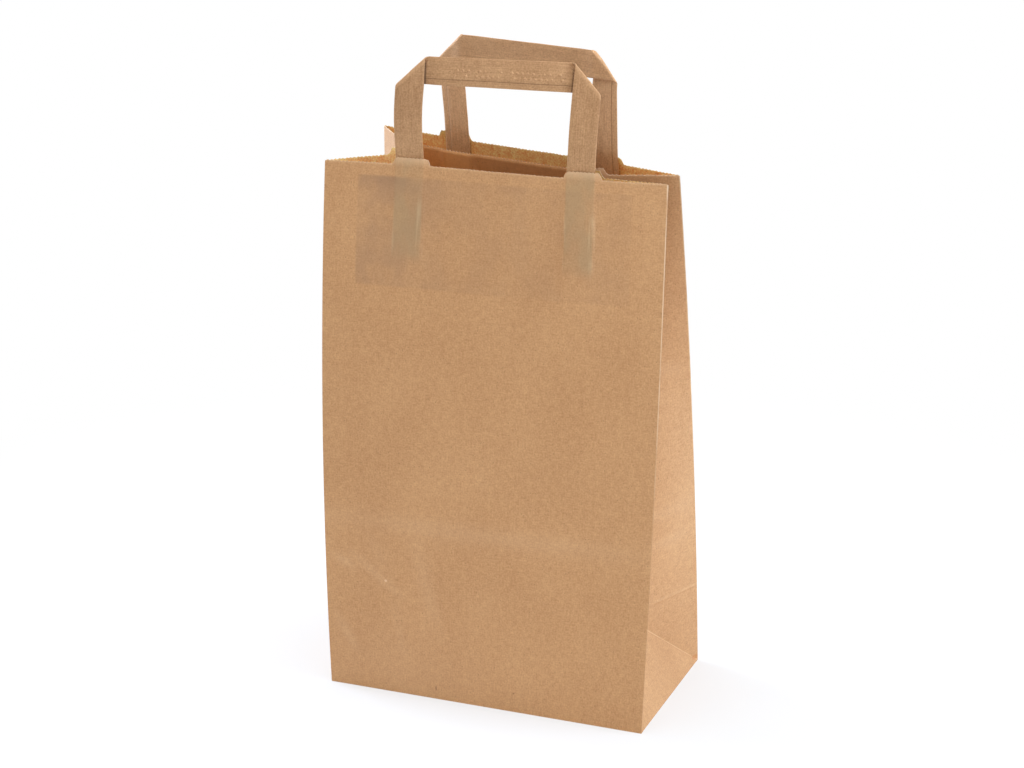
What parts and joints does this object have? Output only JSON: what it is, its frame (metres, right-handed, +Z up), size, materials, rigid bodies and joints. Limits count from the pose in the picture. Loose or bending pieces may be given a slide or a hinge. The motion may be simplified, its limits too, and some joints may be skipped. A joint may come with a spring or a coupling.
{
  "type": "paper carrier bag",
  "caption": "Brown kraft paper carrier bag with flat folded tape handles, pushed-in gussets and a folded block base, standing open.",
  "frame": {"origin": "middle of the base's outer rectangle, at the face the bag stands on", "axes": "+Z up from the base to the rim, -Y out of the front panel, +X to the right seen from the front"},
  "size_m": [0.2272, 0.1206, 0.4294],
  "materials": {
    "kraft_sheet": "matte brown kraft, faintly ribbed and fibrous",
    "kraft_tape": "matte brown kraft tape, several plies",
    "kraft_patch": "matte brown kraft"
  },
  "bodies": {
    "root": {"bag_body": "kraft_sheet", "front_handle": "kraft_tape", "rear_handle": "kraft_tape", "front_handle_patch": "kraft_patch", "rear_handle_patch": "kraft_patch"}
  },
  "joints": []
}
